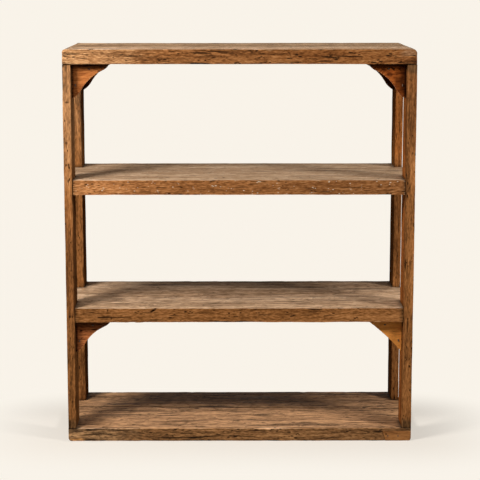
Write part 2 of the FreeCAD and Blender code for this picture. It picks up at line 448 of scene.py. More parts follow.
# Shader groups that several finishes share, with lengths along and widths across the grain in metres
grain_layers = {
    "Band": (0.6, 0.04),
    "Streak": (0.2, 0.009),
    "Flame": (0.06, 0.0042),
    "Fibre": (0.013, 0.0027),
}
sway_length = 0.5
sway_width = 0.2
sway_reach = (0, 0.05, 0.05)
spot_patches = 0.4
bare_below = 0.4
full_above = 0.7
spot_softness = 0.12
rub_patches = 34.0
rub_unevenness = 2.4
rub_start = 1.1
rub_full = 1.6
patch_ripples = 24.0
patch_edge = 1.0
patch_core = 0.35


def new_group(name, inputs, output):
    """An empty group with its sockets, and what its inputs give."""
    group = bpy.data.node_groups.new(name, "ShaderNodeTree")
    for label, value in inputs.items():
        kind = "NodeSocketVector" if isinstance(value, tuple) else "NodeSocketFloat"
        group.interface.new_socket(label, in_out="INPUT", socket_type=kind).default_value = value
    group.interface.new_socket(output, in_out="OUTPUT", socket_type="NodeSocketFloat")
    return group, group.nodes.new("NodeGroupInput").outputs


def give(group, value):
    group.links.new(value, group.nodes.new("NodeGroupOutput").inputs[0])
    return group


def use(tree, group, **values):
    """Places a group with its own values and returns its output."""
    return add(tree, "ShaderNodeGroup", values, node_tree=group).outputs[0]


def cloud(tree, vector, scale, detail, seed=0.0):
    """Plain noise around 0.5, and a colour of three such values."""
    return add(
        tree,
        "ShaderNodeTexNoise",
        {"Vector": vector, "W": seed, "Scale": scale, "Detail": detail, "Roughness": 0.55},
        noise_dimensions="4D",
    ).outputs


def mix(tree, share, a, b, blend="MIX"):
    """Mixes two colours: a Mix node takes them at sockets 6 and 7 and gives its colour at 2."""
    made = add(tree, "ShaderNodeMix", data_type="RGBA", blend_type=blend)
    for place, value in ((0, share), (6, a), (7, b)):
        if isinstance(value, bpy.types.NodeSocket):
            tree.links.new(value, made.inputs[place])
        else:
            made.inputs[place].default_value = value if place == 0 else (*value, 1)
    return made.outputs[2]


def stretched(group, vector, length, width):
    """Places divided by a length along X and a width across it."""
    size = add(group, "ShaderNodeCombineXYZ", {"X": length, "Y": width, "Z": width}).outputs["Vector"]
    return vector_math(group, "DIVIDE", vector, size)


def make_grain():
    """Lines of grain along X at four widths, each with its weight: 0.5 is the middle tone."""
    inputs = {"Vector": (0, 0, 0), "Seed": 0.0, "Band": 1.0, "Streak": 1.0, "Flame": 1.0, "Fibre": 1.0}
    group, given = new_group("grain", inputs, "Value")
    slow = stretched(group, given["Vector"], sway_length, sway_width)
    sway = cloud(group, slow, scale=1.0, detail=1.0, seed=given["Seed"])["Color"]
    sway = vector_math(group, "SUBTRACT", sway, (0.5, 0.5, 0.5))
    moved = vector_math(group, "ADD", given["Vector"], vector_math(group, "MULTIPLY", sway, sway_reach))
    total = 0.5
    for name, (length, width) in grain_layers.items():
        drawn_out = stretched(group, moved, length, width)
        lines = cloud(group, drawn_out, scale=1.0, detail=2.0, seed=given["Seed"])[0]
        total = math(group, "ADD", total, math(group, "MULTIPLY", off_middle(group, lines), given[name]))
    return give(group, total)


def make_spots():
    """Spots stretched along X and of uneven size: splits, worm holes, flakes or specks."""
    inputs = {"Vector": (0, 0, 0), "Seed": 0.0, "Length": 0.02, "Width": 0.005, "Amount": 0.3}
    group, given = new_group("spots", inputs, "Mask")
    lines = stretched(group, given["Vector"], given["Length"], given["Width"])
    cells = add(
        group,
        "ShaderNodeTexVoronoi",
        {"Vector": lines, "Scale": 1.0, "W": given["Seed"]},
        voronoi_dimensions="4D",
    ).outputs["Distance"]
    sizes = cloud(group, lines, scale=spot_patches, detail=1.0, seed=given["Seed"])[0]
    radius = math(group, "MULTIPLY", remap(group, sizes, bare_below, full_above), given["Amount"])
    return give(group, remap(group, math(group, "SUBTRACT", radius, cells), 0.0, spot_softness))


def make_arris_wear_and_shade():
    """Where an arris takes the worn colour, the arris itself broken up by noise: rubbing by hands and
    knocks, and painted shade on the posts, whose worn colour is dark.
    """
    inputs = {"Vector": (0, 0, 0), "Seed": 0.0, "Arris": 0.0, "Amount": 0.5}
    group, given = new_group("arris_wear_and_shade", inputs, "Mask")
    patches = cloud(group, given["Vector"], scale=rub_patches, detail=3.0, seed=given["Seed"])[0]
    broken = math(group, "MULTIPLY", off_middle(group, patches), rub_unevenness)
    score = math(group, "ADD", given["Arris"], broken)
    score = math(group, "ADD", score, given["Amount"])
    return give(group, remap(group, score, rub_start, rub_full))


def make_soft_patch():
    """A soft-edged patch round a centre, with an uneven outline."""
    inputs = {"Vector": (0, 0, 0), "Seed": 0.0, "Centre": (0, 0, 0), "Reach": (0.1, 0.1, 0.1)}
    group, given = new_group("soft_patch", inputs, "Mask")
    away = vector_math(group, "SUBTRACT", given["Vector"], given["Centre"])
    away = vector_math(group, "DIVIDE", away, given["Reach"])
    ripples = cloud(group, given["Vector"], scale=patch_ripples, detail=2.0, seed=given["Seed"])[0]
    distance = math(group, "ADD", length_of(group, away), off_middle(group, ripples))
    return give(group, remap(group, distance, patch_edge, patch_core))


grain = make_grain()
spots = make_spots()
arris_wear_and_shade = make_arris_wear_and_shade()
soft_patch = make_soft_patch()


# Finishes: each kind of mark has a step of its seed, and a length and width in metres
grain_weights = ("Band", "Streak", "Flame", "Fibre")
mark_kinds = {
    "crack": (4.1, 0.19, 0.0075),
    "split": (1.7, 0.06, 0.0033),
    "hole": (2.9, 0.013, 0.0048),
    "speck": (6.3, 0.008, 0.0042),
}
tone_stops = (0.12, 0.4, 0.62, 0.92)
top_seed_step = 3
top_spread = (0.45, 0.35, 1)
top_raggedness = 0.2
top_fibres = 0.4
top_starts = 0.72
top_full = 1.02
crack_depth = 0.55
black_depth = 0.22
mark_share = 0.85
rubbed_and_shaded_share = 0.75
paint_share = 0.75
old_paint = (0.66, 0.55, 0.42)
grime_and_shade_tones = (0.9, 0.2)
grime_and_shade_shares = (0.55, 0.95)
rough_tones = (0.1, 0.9)
rough_values = (0.85, 0.7)
mark_sink = 0.5


def begin_finish(name):
    material = bpy.data.materials.new(name)
    material.use_nodes = True
    tree = material.node_tree
    tree.nodes.clear()
    return material, tree, add(tree, "ShaderNodeTexCoord").outputs["Object"]


def end_finish(material, tree, inputs):
    shader = add(tree, "ShaderNodeBsdfPrincipled", inputs)
    add(tree, "ShaderNodeOutputMaterial", {"Surface": shader.outputs[0]})
    return material


def tone(tree, value, colours):
    """A ramp from the deepest to the palest of a wood's four colours."""
    ramp = add(tree, "ShaderNodeValToRGB", {"Fac": value})
    stops = ramp.color_ramp.elements
    deepest, *between, palest = tone_stops
    stops[0].position = deepest
    stops[1].position = palest
    for place in between:
        stops.new(place)
    for stop, colour in zip(stops, colours):
        stop.color = (*colour, 1)
    return ramp.outputs["Color"]


def grain_of(tree, along, seed, weights):
    return use(tree, grain, Vector=along, Seed=seed, **dict(zip(grain_weights, weights)))


def marks(tree, along, seed, kind, amount):
    """Spots of one kind, drawn out along the grain."""
    step, length, width = mark_kinds[kind]
    return use(tree, spots, Vector=along, Seed=seed + step, Length=length, Width=width, Amount=amount)


def wood_finish(
    name,
    seed,
    side,
    top=None,
    worn=(0.5, 0.33, 0.2),
    upright=False,
    lines=(0.5, 0.5, 0.5, 0.8),
    top_lines=(0.7, 0.6, 0.55, 1.0),
    split=0.5,
    hole=0.4,
    speck=0.0,
    wear=0.3,
    sheen=0.04,
    tints=(),
):
    """Old wood. side and top are its colours on edges and on upper faces, from deep to pale; the greyer top
    colours hold weathering and painted sheen.
    lines are the weights of its grain. tints are places in mm with their reach, tint and share: real stains
    and marks, and painted shade where so marked."""
    material, tree, place = begin_finish(name)
    turn = (0, pi / 2, 0) if upright else (0, 0, 0)
    along = add(tree, "ShaderNodeMapping", {"Vector": place, "Rotation": turn}).outputs["Vector"]
    value = grain_of(tree, along, seed, lines)
    colour = tone(tree, value, side)
    # Upper faces take the paler, greyer top colours, for weathering and painted sheen
    if top:
        spread = add(tree, "ShaderNodeMapping", {"Vector": place, "Scale": top_spread}).outputs["Vector"]
        top_value = grain_of(tree, spread, seed + top_seed_step, top_lines)
        normal = add(tree, "ShaderNodeNewGeometry").outputs["Normal"]
        up = add(tree, "ShaderNodeSeparateXYZ", {0: normal}).outputs["Z"]
        uneven_up = math(tree, "ADD", up, math(tree, "MULTIPLY", value, top_raggedness))
        fine = math(tree, "MULTIPLY", off_middle(tree, value), top_fibres)
        top_colour = tone(tree, math(tree, "ADD", top_value, fine), top)
        cracks = marks(tree, along, seed, "crack", split)
        deep = tuple(channel * crack_depth for channel in top[0])
        top_colour = mix(tree, math(tree, "MULTIPLY", cracks, mark_share), top_colour, deep)
        colour = mix(tree, remap(tree, uneven_up, top_starts, top_full), colour, top_colour)
    # Tinted patches: real stains and marks, and on some woods painted shade
    for i, (centre, reach, tint, share) in enumerate(tints):
        patch = use(
            tree,
            soft_patch,
            Vector=place,
            Seed=seed + i,
            Centre=tuple(c * MM for c in centre),
            Reach=tuple(r * MM for r in reach),
        )
        colour = mix(tree, math(tree, "MULTIPLY", patch, share), colour, tint, "MULTIPLY")
    # The worn colour on arrises: rubbed wood on most woods, painted shade on the posts
    arris = add(tree, "ShaderNodeAttribute", attribute_name="arris").outputs["Fac"]
    rubbed_and_shaded = use(tree, arris_wear_and_shade, Vector=along, Seed=seed, Arris=arris, Amount=wear)
    colour = mix(tree, math(tree, "MULTIPLY", rubbed_and_shaded, rubbed_and_shaded_share), colour, worn)
    black = tuple(channel * black_depth for channel in side[0])
    splits = marks(tree, along, seed, "split", split)
    holes = marks(tree, along, seed, "hole", hole)
    sunk = math(tree, "MAXIMUM", splits, holes)
    colour = mix(tree, math(tree, "MULTIPLY", sunk, mark_share), colour, black)
    if speck:
        specks = marks(tree, along, seed, "speck", speck)
        colour = mix(tree, math(tree, "MULTIPLY", specks, paint_share), colour, old_paint)
    # Darkens towards black where the grime mask is high: real dirt on decks, seams and joints, darker
    # dents, and painted shade on the posts' inner faces and the brackets
    grime_and_shade = add(tree, "ShaderNodeAttribute", attribute_name="grime_and_shade").outputs["Fac"]
    patchy = math(tree, "MULTIPLY", grime_and_shade, remap(tree, value, *grime_and_shade_tones, *grime_and_shade_shares))
    colour = mix(tree, patchy, colour, black)
    height = math(tree, "SUBTRACT", value, math(tree, "MULTIPLY", sunk, mark_sink))
    bump = add(tree, "ShaderNodeBump", {"Height": height, "Strength": 0.5, "Distance": 0.6 * MM})
    inputs = {
        "Base Color": colour,
        "Roughness": remap(tree, value, *rough_tones, *rough_values),
        "Normal": bump.outputs["Normal"],
        "Specular IOR Level": sheen,
    }
    return end_finish(material, tree, inputs)


def rusty_iron():
    """Dull iron, bare in places and bloomed with rust in others."""
    iron = (0.1, 0.07, 0.05)
    rust = (0.12, 0.055, 0.026)
    rust_starts = 0.4
    rust_full = 0.62
    material, tree, place = begin_finish("rusty_nail_iron")
    bloom = remap(tree, cloud(tree, place, scale=420.0, detail=4.0)[0], rust_starts, rust_full)
    bump = add(tree, "ShaderNodeBump", {"Height": bloom, "Strength": 0.5, "Distance": 0.3 * MM})
    inputs = {
        "Base Color": mix(tree, bloom, iron, rust),
        "Metallic": remap(tree, bloom, 0.0, 1.0, to_low=0.25, to_high=0.0),
        "Roughness": remap(tree, bloom, 0.0, 1.0, to_low=0.6, to_high=0.9),
        "Normal": bump.outputs["Normal"],
    }
    return end_finish(material, tree, inputs)


# The unit's own woods. Tints are broad shades first, then single marks; some broad ones are painted shade,
# marked where they stand. The front face is in mm
front = -200.0
dark_spot = (0.14, 0.13, 0.13)
blue_grey = (0.42, 0.52, 0.68)
dark_streak = (0.42, 0.42, 0.42)
deep_shade = (0.2, 0.18, 0.16)
knot = (0.22, 0.18, 0.16)

top_wood = wood_finish(
    "top_wood",
    seed=1.0,
    side=((0.034, 0.014, 0.005), (0.153, 0.057, 0.017), (0.313, 0.131, 0.043), (0.51, 0.27, 0.112)),
    top=((0.158, 0.099, 0.056), (0.355, 0.21, 0.115), (0.579, 0.368, 0.217), (0.828, 0.592, 0.395)),
    lines=(0.6, 0.56, 0.64, 1.1),
    worn=(0.3, 0.165, 0.08),
    split=0.66,
    hole=0.58,
    wear=0.4,
    tints=(
        ((-500, -212, 1118), (330, 36, 160), (1.68, 2.1, 2.8), 1.0),
        ((-500, 200, 1140), (420, 130, 60), (1.35, 1.35, 1.35), 1.0),
        ((330, front, 1118), (330, 60, 160), (0.82, 0.76, 0.68), 1.0),
        ((0, -128, 1142), (900, 92, 20), (1.5, 1.6, 1.82), 1.0),
        ((478, front, 1126), (34, 25, 17), (1.15, 1.5, 2.4), 0.9),
        ((478, front, 1117), (24, 20, 3), (1.4, 1.2, 0.8), 0.9),
        ((-115.8, front, 1108), (4, 4, 3.5), dark_spot, 1.0),
        ((-97.1, front, 1108), (4, 4, 3.5), dark_spot, 1.0),
        ((-74.1, front, 1115), (12, 4, 2.2), dark_spot, 1.0),
        ((-209, front, 1137), (9, 6, 4), (1.9, 2.1, 2.5), 1.0),
    ),
)
upper_shelf_wood = wood_finish(
    "upper_shelf_wood",
    seed=11.0,
    side=((0.064, 0.024, 0.009), (0.226, 0.087, 0.026), (0.398, 0.17, 0.059), (0.6, 0.318, 0.136)),
    top=((0.164, 0.104, 0.06), (0.328, 0.202, 0.114), (0.49, 0.333, 0.213), (0.631, 0.474, 0.334)),
    lines=(0.5, 0.45, 0.5, 1.2),
    worn=(0.58, 0.37, 0.22),
    split=0.56,
    hole=0.5,
    speck=0.49,
    wear=0.25,
    tints=(
        ((-500, front, 747), (330, 40, 60), (1.35, 1.4, 1.5), 1.0),
        ((300, front, 747), (360, 20, 60), (0.74, 0.72, 0.7), 1.0),
        ((-135, -161, 769), (125, 16, 20), (1.25, 1.3, 1.36), 1.0),
        ((-46, -146, 769), (7, 10, 8), dark_spot, 1.0),
    ),
)
lower_shelf_wood = wood_finish(
    "lower_shelf_wood",
    seed=21.0,
    side=((0.047, 0.02, 0.007), (0.194, 0.077, 0.022), (0.37, 0.159, 0.053), (0.564, 0.27, 0.103)),
    top=((0.187, 0.116, 0.069), (0.42, 0.265, 0.155), (0.687, 0.468, 0.304), (0.92, 0.69, 0.486)),
    lines=(0.4, 0.4, 0.5, 1.1),
    worn=(0.52, 0.3, 0.15),
    split=0.6,
    hole=0.5,
    wear=0.22,
    tints=(
        # Darker towards the rear: painted shade of the upper shelf, and dirt
        ((0, 200, 397), (650, 440, 60), (0.55, 0.54, 0.53), 1.0),
        ((0, 10, 397), (640, 95, 20), (0.88, 0.84, 0.8), 1.0),
        ((-154, 141, 397), (190, 14, 10), dark_streak, 0.85),
        ((126, 101, 397), (190, 15, 10), dark_streak, 0.85),
        ((357, 77, 397), (120, 13, 10), dark_streak, 0.85),
        ((-31, front, 381), (4.5, 4, 3.5), dark_spot, 1.0),
        ((2, front, 383), (4.5, 4, 3.5), dark_spot, 1.0),
        ((-381, front, 390), (4, 4, 7), dark_spot, 0.9),
        ((-370, front, 367), (4, 4, 7), dark_spot, 0.9),
        ((455, front, 397), (26, 12, 6), (1.5, 1.65, 1.9), 1.0),
    ),
)
bottom_wood = wood_finish(
    "bottom_wood",
    seed=31.0,
    side=((0.033, 0.017, 0.009), (0.146, 0.07, 0.028), (0.325, 0.155, 0.059), (0.544, 0.282, 0.116)),
    top_lines=(0.4, 0.36, 0.34, 0.8),
    top=((0.106, 0.058, 0.03), (0.319, 0.175, 0.088), (0.615, 0.338, 0.168), (0.78, 0.468, 0.252)),
    worn=(0.55, 0.36, 0.21),
    lines=(0.64, 0.62, 0.72, 1.15),
    split=0.7,
    hole=0.58,
    wear=0.25,
    tints=(
        # Darker towards the rear: painted shade of the lower shelf, and dirt
        ((0, 190, 39), (560, 240, 60), (0.6, 0.58, 0.53), 1.0),
        # Painted shadows of the front posts on the bottom deck, right of the left post and left of the
        # right one
        ((-432, -140, 39), (75, 62, 20), (0.68, 0.66, 0.64), 1.0),
        ((428, -130, 39), (75, 62, 20), (0.78, 0.76, 0.74), 1.0),
        ((-470, front, 20), (220, 20, 60), (1.58, 1.82, 2.15), 1.0),
        ((300, front, 20), (260, 20, 60), (0.85, 0.85, 0.86), 1.0),
        ((94, front, 39), (70, 14, 7), (1.7, 1.9, 2.3), 1.0),
        ((401, front, 26.5), (19, 6, 3.4), dark_spot, 1.0),
        ((-477, front, 5), (34, 12, 7), (1.7, 1.5, 1.15), 1.0),
    ),
)
patch_wood = wood_finish(
    "patch_wood",
    seed=41.0,
    side=((0.12, 0.05, 0.017), (0.27, 0.11, 0.035), (0.38, 0.165, 0.053), (0.5, 0.23, 0.08)),
    lines=(0.5, 0.6, 0.8, 0.8),
    worn=(0.45, 0.22, 0.09),
    hole=0.4,
    split=0.4,
    wear=0.1,
    tints=(((427, front, 20), (5, 4, 4), dark_spot, 1.0),),
)
post_wood = wood_finish(
    "post_wood",
    seed=51.0,
    side=((0.044, 0.02, 0.008), (0.198, 0.08, 0.025), (0.374, 0.154, 0.048), (0.605, 0.275, 0.097)),
    lines=(0.6, 0.7, 0.7, 0.9),
    # Painted shade: a dark worn colour, so the posts' arrises read as dark lines
    worn=(0.16, 0.07, 0.027),
    upright=True,
    sheen=0.0,
    split=0.5,
    hole=0.46,
    wear=0.12,
    tints=(
        ((-488, -80, 1000), (60, 330, 330), (1.22, 1.45, 1.95), 1.0),
        ((-488, -160, 540), (60, 150, 260), (0.76, 0.74, 0.77), 1.0),
        ((488, -160, 960), (60, 150, 220), (0.71, 0.7, 0.73), 1.0),
        ((484, 102, 950), (40, 60, 260), (1.25, 1.06, 0.84), 1.0),
        ((472, -140, 540), (6, 58, 900), (1.4, 1.1, 0.85), 1.0),
        ((-488, front, 46), (40, 30, 26), blue_grey, 0.9),
        ((488, front, 48), (40, 30, 30), blue_grey, 0.9),
        ((488, front, 1086), (40, 30, 22), blue_grey, 0.9),
        ((-498, front, 1092), (6, 6, 6), dark_spot, 0.8),
        ((-488, front, 990), (8, 6, 4), dark_spot, 0.8),
        ((-491, front, 875), (5, 6, 6), dark_spot, 0.8),
        ((-492, front, 812), (6, 6, 5), dark_spot, 0.8),
    ),
)
bracket_wood = wood_finish(
    "bracket_wood",
    seed=61.0,
    side=((0.06, 0.016, 0.005), (0.24, 0.07, 0.017), (0.43, 0.145, 0.037), (0.6, 0.235, 0.068)),
    worn=(0.72, 0.33, 0.12),
    split=0.5,
    hole=0.5,
    wear=0.5,
    tints=(
        ((-430, -160, 1050), (150, 60, 150), (1.1, 1.14, 1.24), 1.0),
        ((430, -160, 1050), (150, 60, 150), (0.84, 0.68, 0.5), 1.0),
        ((-430, -160, 310), (150, 60, 150), (1.35, 1.4, 1.85), 1.0),
        ((-430, 160, 1050), (150, 60, 150), deep_shade, 1.0),
        ((430, 160, 1050), (150, 60, 150), deep_shade, 1.0),
        ((470, -172, 1045), (28, 12, 62), (0.3, 0.28, 0.3), 1.0),
        ((448, -172, 1048), (15, 10, 13), (0.45, 0.4, 0.4), 0.9),
        ((437, -172, 1080), (20, 10, 10), (1.4, 1.4, 1.3), 1.0),
        ((425, -172, 1066), (11, 8, 8), knot, 0.8),
        ((408, -172, 1081), (9, 8, 7), knot, 0.8),
    ),
)
gusset_wood = wood_finish(
    "gusset_wood",
    seed=71.0,
    side=((0.4, 0.155, 0.034), (0.78, 0.3, 0.065), (0.93, 0.4, 0.095), (0.97, 0.5, 0.15)),
    worn=(0.5, 0.22, 0.07),
    lines=(0.4, 0.3, 0.4, 0.6),
    hole=0.3,
    split=0.3,
)
dowel_wood = wood_finish(
    "dowel_wood",
    seed=81.0,
    side=((0.36, 0.23, 0.12), (0.45, 0.3, 0.165), (0.53, 0.37, 0.21), (0.62, 0.45, 0.27)),
    worn=(0.6, 0.43, 0.26),
    hole=0.0,
    split=0.0,
    wear=0.0,
)
nail_iron = rusty_iron()


# Decks: steps of the mesh in mm, how far wear and dirt reach, and how far cutters stand out
deck_steps = (8, 3.3, 2.7)
broad_insets = (1.2, 2.8, 4.8, 7.5, 11.0, 14.5, 18.0)
deck_arris_reach = 9 * MM
seam_dirt_reach = 8 * MM
post_dirt_reach = 11 * MM
smooth_corner_reach = 16 * MM
rough_edge_reach = 6 * MM
shelf_end_arris = 1.5 * MM
arris_seed_step = 0.37
notch_past = 6 * MM
recess_past = 8 * MM


def post_space(low, high):
    """The corner that a post takes out of a shelf, drawn out past its edges so that it cuts cleanly."""
    start = low.copy()
    end = high.copy()
    for axis in (X, Y):
        if low[axis] < 0:
            start[axis] = cad_box[0][axis] - notch_past
        else:
            end[axis] = cad_box[1][axis] + notch_past
    return block("post_space", start, end)


def dirt_near_posts(places):
    """Dirt that gathers on a deck round the posts."""
    darkening = np.zeros(len(places))
    for low, high in post_boxes.values():
        gaps = [np.maximum(np.maximum(low[i] - places[:, i], places[:, i] - high[i]), 0) for i in (X, Y, Z)]
        distance = np.sqrt(gaps[X] ** 2 + gaps[Y] ** 2 + gaps[Z] ** 2)
        darkening = np.maximum(darkening, nearness(distance, post_dirt_reach))
    return darkening


def deck(node, arrises, seed, x_loops=(), z_loops=()):
    """A plank of a deck: sawn, notched where posts pass, worn along its arrises and furrowed."""
    low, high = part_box(node)
    piece = block("worn_" + node, low, high)
    notched = "shelf" in node
    body_low = low.copy()
    body_high = high.copy()
    if notched:
        for post_low, post_high in post_boxes.values():
            if post_high.y > low.y and post_low.y < high.y:
                cut_away(piece, post_space(post_low, post_high))
        body_low.x = left_inside
        body_high.x = right_inside
    open_for_editing(piece)
    if notched:
        slice_at(X, (left_inside, right_inside))
        slice_at(Y, [place for place in (front_post_back, rear_post_front) if low.y < place < high.y])
    slice_at(X, near_edge_places(low.x, high.x, crisp_insets if notched else broad_insets))
    if notched:
        slice_at(X, near_edge_places(body_low.x, body_high.x))
    slice_at(Y, near_edge_places(low.y, high.y))
    slice_at(Z, near_edge_places(low.z, high.z))
    slice_at(X, [x * MM for x in x_loops])
    slice_at(Z, [z * MM for z in z_loops])
    divide_long_edges(piece, deck_steps)
    close_editing()
    places = coordinates(piece)
    keep_mask(piece, "arris", arris_nearness(places, body_low, body_high, deck_arris_reach))
    darkening = dirt_near_posts(places)
    if node.endswith("plank"):
        seam = high.y if "front" in node else low.y
        darkening = np.maximum(darkening, nearness(np.abs(places[:, Y] - seam), seam_dirt_reach))
    keep_mask(piece, "grime_and_shade", darkening)
    for i, (name, radius) in enumerate(arrises.items()):
        wear_arris(piece, body_low, body_high, name, radius * MM, seed + i * arris_seed_step)
    if notched:
        end_low = Vector((low.x, max(low.y, front_post_back), low.z))
        end_high = Vector((high.x, min(high.y, rear_post_front), high.z))
        for name in ("left top", "left under", "right top", "right under"):
            wear_arris(piece, end_low, end_high, name, shelf_end_arris, seed + 0.2, chips=0.5)
    from_ends = np.minimum(places[:, X] - low.x, high.x - places[:, X])
    from_edges = np.minimum(places[:, Y] - low.y, high.y - places[:, Y])
    flats = 1 - nearness(np.maximum(from_ends, from_edges), smooth_corner_reach)
    edges = flats * nearness(from_edges, rough_edge_reach)
    weather(piece, X, length=500, width=90, depth=0.8, seed=seed, where=flats)
    weather(piece, X, length=90, width=9, depth=0.7, seed=seed + 5, where=flats)
    weather(piece, X, length=45, width=6, depth=1.3, seed=seed + 9, where=edges)
    if node.startswith("bottom"):
        slant_seam(piece, low, high, node)
    return piece


def slant_seam(piece, low, high, node):
    """Moves the seam side of a bottom plank so that the seam runs across from left to right."""
    places = coordinates(piece)
    share = (places[:, X] - low.x) / (high.x - low.x)
    seam = bottom_seam_left + share * (bottom_seam_right - bottom_seam_left)
    still, moving = (low.y, high.y) if "front" in node else (high.y, low.y)
    places[:, Y] = still + (places[:, Y] - still) / (moving - still) * (seam - still)
    set_coordinates(piece, places)


# Radii of the decks' arrises in mm
def long_arrises(front_top, front_under, rear_top, rear_under):
    return {
        "front top": front_top,
        "front under": front_under,
        "rear top": rear_top,
        "rear under": rear_under,
    }


def upright_arrises(rows, left, right):
    return {f"{side} {row}": radius for row in rows for side, radius in (("left", left), ("right", right))}


top_ends = {"left top": 11.0, "right top": 14.0, "left under": 1.5, "right under": 1.5}
bottom_ends = {"left top": 1.5, "right top": 1.5, "left under": 12.0, "right under": 7.0}
top_front_arrises = long_arrises(2.2, 1.4, 1.4, 1.5) | top_ends | upright_arrises(["front"], 6.0, 9.0)
top_rear_arrises = long_arrises(1.4, 1.5, 3.5, 2.0) | top_ends | upright_arrises(["rear"], 6.0, 9.0)
upper_front_arrises = long_arrises(1.5, 1.3, 1.4, 1.4) | upright_arrises(["front"], 2.0, 2.0)
upper_rear_arrises = long_arrises(1.4, 1.4, 2.5, 2.0) | upright_arrises(["rear"], 2.0, 2.0)
lower_arrises = long_arrises(1.5, 1.3, 2.5, 2.0) | upright_arrises(["front", "rear"], 2.0, 2.0)
bottom_front_arrises = long_arrises(2.2, 1.4, 1.4, 1.5) | upright_arrises(["front"], 3.0, 3.0) | bottom_ends
bottom_rear_arrises = long_arrises(1.4, 1.5, 3.5, 2.0) | upright_arrises(["rear"], 3.0, 3.0) | bottom_ends

for node, material, arrises, seed in (
    ("top_front_plank", top_wood, top_front_arrises, 1.0),
    ("top_rear_plank", top_wood, top_rear_arrises, 2.0),
    ("upper_shelf_front_plank", upper_shelf_wood, upper_front_arrises, 3.0),
    ("upper_shelf_rear_plank", upper_shelf_wood, upper_rear_arrises, 4.0),
):
    finish_piece(deck(node, arrises, seed), node, material)

# The lower shelf has a slanting dent in its front edge, with fine loops round it, all in mm
dent_x_loops = range(-259, -237, 2)
dent_z_loops = (383.5, 385, 386.5, 388, 389.5, 391)
dent_x = -243
dent_z = 394
dent_knocks = 5
dent_left = 2.8
dent_down = 2.2
dent_reach = (5.2, 7.0, 4.2)
dent_push = (0, 5.5, 0)
piece = deck("lower_shelf_board", lower_arrises, 5.0, dent_x_loops, dent_z_loops)
for step in range(dent_knocks):
    knock(piece, (dent_x - dent_left * step, front, dent_z - dent_down * step), dent_reach, dent_push)
finish_piece(piece, "lower_shelf_board", lower_shelf_wood)


# The repair block at the right end of the bottom's front edge
def lean_left_end(piece, top_z, lean):
    """Slants the left end of the repair block, further in towards its foot."""
    places = coordinates(piece)
    left = places[:, X].min()
    right = places[:, X].max()
    share = (right - places[:, X]) / (right - left)
    places[:, X] += share * lean * (top_z - places[:, Z]) / top_z
    set_coordinates(piece, places)


patch_steps = (3.5, 3.0, 2.4)
patch_arris_reach = 5 * MM
patch_dirt_reach = 2.5 * MM
patch_seed = 8.0
patch_seed_step = 0.4
patch_arrises = {
    "front top": 1.6,
    "left front": 1.6,
    "right front": 3.0,
    "right under": 7.0,
    "front under": 1.6,
}
patch_low, patch_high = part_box("bottom_edge_patch")
piece = deck("bottom_front_plank", bottom_front_arrises, 6.0)
recess = block(
    "patch_recess",
    Vector((patch_low.x, patch_low.y - recess_past, patch_low.z - recess_past)),
    Vector((patch_high.x + recess_past, patch_high.y, patch_high.z)),
)
lean_left_end(recess, patch_high.z, patch_slant)
cut_away(piece, recess)
finish_piece(piece, "bottom_front_plank", bottom_wood)
piece = deck("bottom_rear_plank", bottom_rear_arrises, 7.0)
finish_piece(piece, "bottom_rear_plank", bottom_wood)
piece = block("worn_bottom_edge_patch", patch_low, patch_high)
open_for_editing(piece)
for axis in (X, Y, Z):
    slice_at(axis, near_edge_places(patch_low[axis], patch_high[axis]))
divide_long_edges(piece, patch_steps)
close_editing()
places = coordinates(piece)
keep_mask(piece, "arris", arris_nearness(places, patch_low, patch_high, patch_arris_reach))
keep_mask(piece, "grime_and_shade", nearness(places[:, X] - patch_low.x, patch_dirt_reach))
for i, (name, radius) in enumerate(patch_arrises.items()):
    wear_arris(piece, patch_low, patch_high, name, radius * MM, patch_seed + i * patch_seed_step, chips=0.5)
weather(piece, X, length=40, width=6, depth=0.8, seed=patch_seed)
lean_left_end(piece, patch_high.z, patch_slant)
finish_piece(piece, "bottom_edge_patch", patch_wood)


# Posts: steps of the mesh in mm, how far wear and dirt reach, and how strong the dirt and the painted shade
# on the inner faces are
post_steps = (2.8, 3.3, 8.0)
post_arris = 1.2 * MM
post_arris_reach = 7 * MM
post_seed = 10.0
post_seed_step = 0.61
inner_face_reach = 1.2 * MM
inner_edge_reach = 3 * MM
deck_dirt_reach = 9 * MM
end_dirt_reach = 4 * MM
joint_dirt = 0.8
inner_face_shade = {
    "front_left_post": 0.68,
    "front_right_post": 0.3,
    "rear_left_post": 0.55,
    "rear_right_post": 0.55,
}
bottom_box, lower_box, upper_box, top_box = (
    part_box(node)
    for node in ("bottom_front_plank", "lower_shelf_board", "upper_shelf_front_plank", "top_front_plank")
)
deck_tops = [bottom_box[1].z, lower_box[1].z, upper_box[1].z]
deck_undersides = [lower_box[0].z, upper_box[0].z, top_box[0].z]


